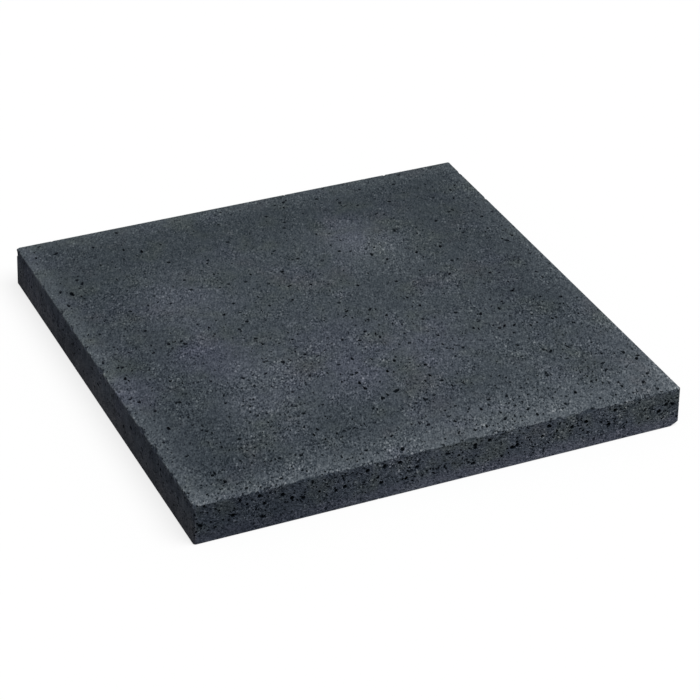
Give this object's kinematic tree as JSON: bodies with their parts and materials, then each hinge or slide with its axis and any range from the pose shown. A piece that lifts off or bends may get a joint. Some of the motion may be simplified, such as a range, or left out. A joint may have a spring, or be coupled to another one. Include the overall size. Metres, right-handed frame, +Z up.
{
  "type": "concrete paving slab",
  "caption": "Square slab of charcoal concrete with an open-pored face, leaning sides, rubbed and bitten arrises and knocked corners; laid flat on a bed to pave a path or terrace.",
  "frame": {"origin": "centre of the underside, which lies on the bed", "axes": "+Z up through the thickness to the walking face, X and Y along the two pairs of sides"},
  "size_m": [0.6, 0.6, 0.05],
  "materials": {
    "charcoal_concrete": "matt cast concrete, dyed charcoal, with a fine sandy grain and open air voids"
  },
  "bodies": {
    "root": {"paving_slab": "charcoal_concrete"}
  },
  "joints": []
}
